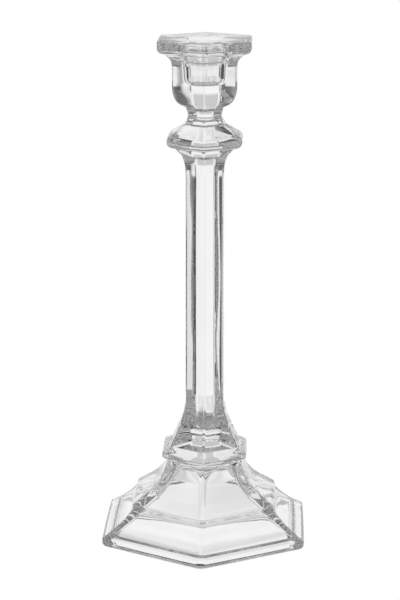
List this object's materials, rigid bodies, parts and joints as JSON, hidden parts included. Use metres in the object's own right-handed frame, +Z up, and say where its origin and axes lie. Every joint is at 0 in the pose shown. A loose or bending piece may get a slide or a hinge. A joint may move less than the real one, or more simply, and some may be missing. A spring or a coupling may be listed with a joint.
{
  "type": "glass candlestick",
  "caption": "Tall clear glass candlestick, hexagonal, with a stepped hollow foot, collar, slender stem, knop and a flared cup with a round socket for a taper candle.",
  "frame": {"origin": "centre of the foot's underside, on the surface that the candlestick stands on", "axes": "+Z up along the axis of the stem; one corner of each hexagon points along -Y and one along +Y; +X and -X are square to two flats"},
  "size_m": [0.1338, 0.1522, 0.33],
  "materials": {
    "foot_glass": "clear, fire-polished, faintly wavy",
    "collar_glass": "clear, fire-polished",
    "stem_glass": "clear, fire-polished, faintly wavy",
    "merese_glass": "clear, fire-polished",
    "knop_glass": "clear, fire-polished",
    "wafer_glass": "clear, fire-polished",
    "cup_glass": "clear, fire-polished, faintly wavy"
  },
  "bodies": {
    "root": {"foot": "foot_glass", "foot_collar": "collar_glass", "stem": "stem_glass", "knop_merese": "merese_glass", "knop": "knop_glass", "neck_wafer": "wafer_glass", "candle_cup": "cup_glass"}
  },
  "joints": []
}
